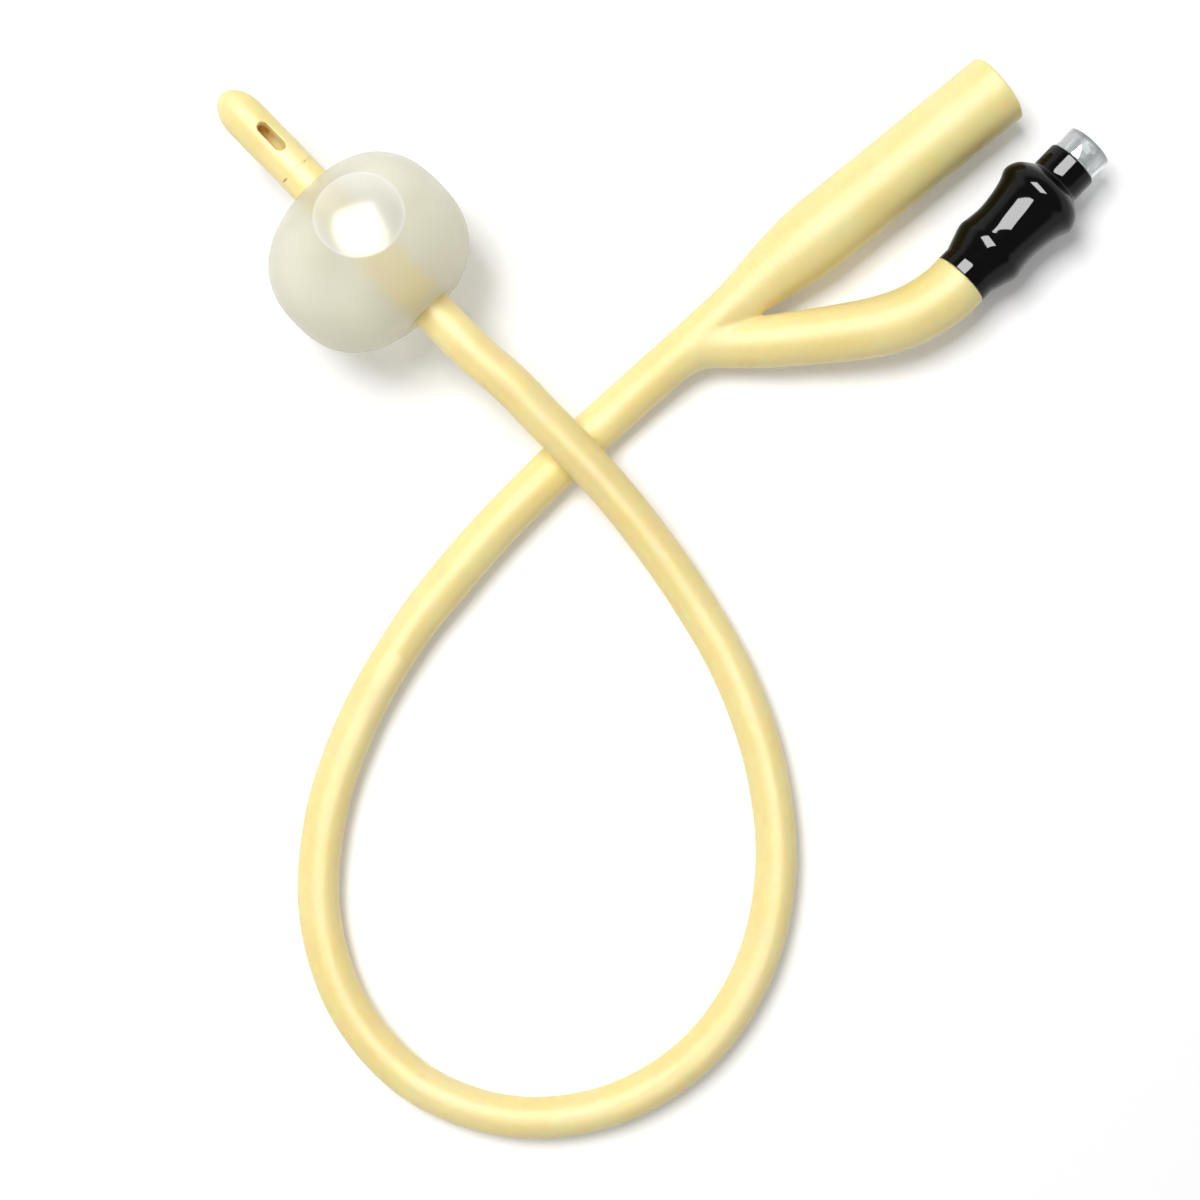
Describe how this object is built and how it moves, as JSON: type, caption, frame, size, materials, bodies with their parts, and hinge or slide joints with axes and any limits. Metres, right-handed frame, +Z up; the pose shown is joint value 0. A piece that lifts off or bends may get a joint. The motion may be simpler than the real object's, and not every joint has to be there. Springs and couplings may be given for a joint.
{
  "type": "foley urinary catheter",
  "caption": "Rubber retention catheter with a filled balloon behind its eyed tip, lying in a loose loop to a Y piece with a drainage funnel and a valved inflation arm.",
  "frame": {"origin": "under the middle of the whole catheter's box, on the surface that it lies on", "axes": "+Z up from the surface, +X along the drainage funnel towards its mouth, +Y towards the side that the tip points to"},
  "size_m": [0.1651, 0.1517, 0.0284],
  "materials": {
    "dipped_latex": "smooth satin",
    "stretched_latex": "thin, milky and satin",
    "black_plastic": "glossy moulded",
    "clear_plastic": "clear moulded",
    "white_plastic": "moulded",
    "grey_rubber": "matt",
    "spring_steel": "drawn wire"
  },
  "bodies": {
    "catheter": {"shaft": "dipped_latex", "tip": "dipped_latex", "balloon": "stretched_latex", "y_piece": "dipped_latex", "valve_sleeve": "black_plastic", "valve_housing": "clear_plastic", "barbed_stem": "white_plastic", "valve_spring": "spring_steel"},
    "plunger": {"valve_plunger": "white_plastic", "plunger_seal": "grey_rubber"}
  },
  "joints": [
    {"name": "plunger_slide", "type": "slide", "parent": "catheter", "child": "plunger", "axis": [-0.9928, -0.1201, 0], "range_m": [0, 0.002], "stiffness_N_per_m": 150, "springref_m": -0.001, "deforming": ["valve_spring"]}
  ]
}
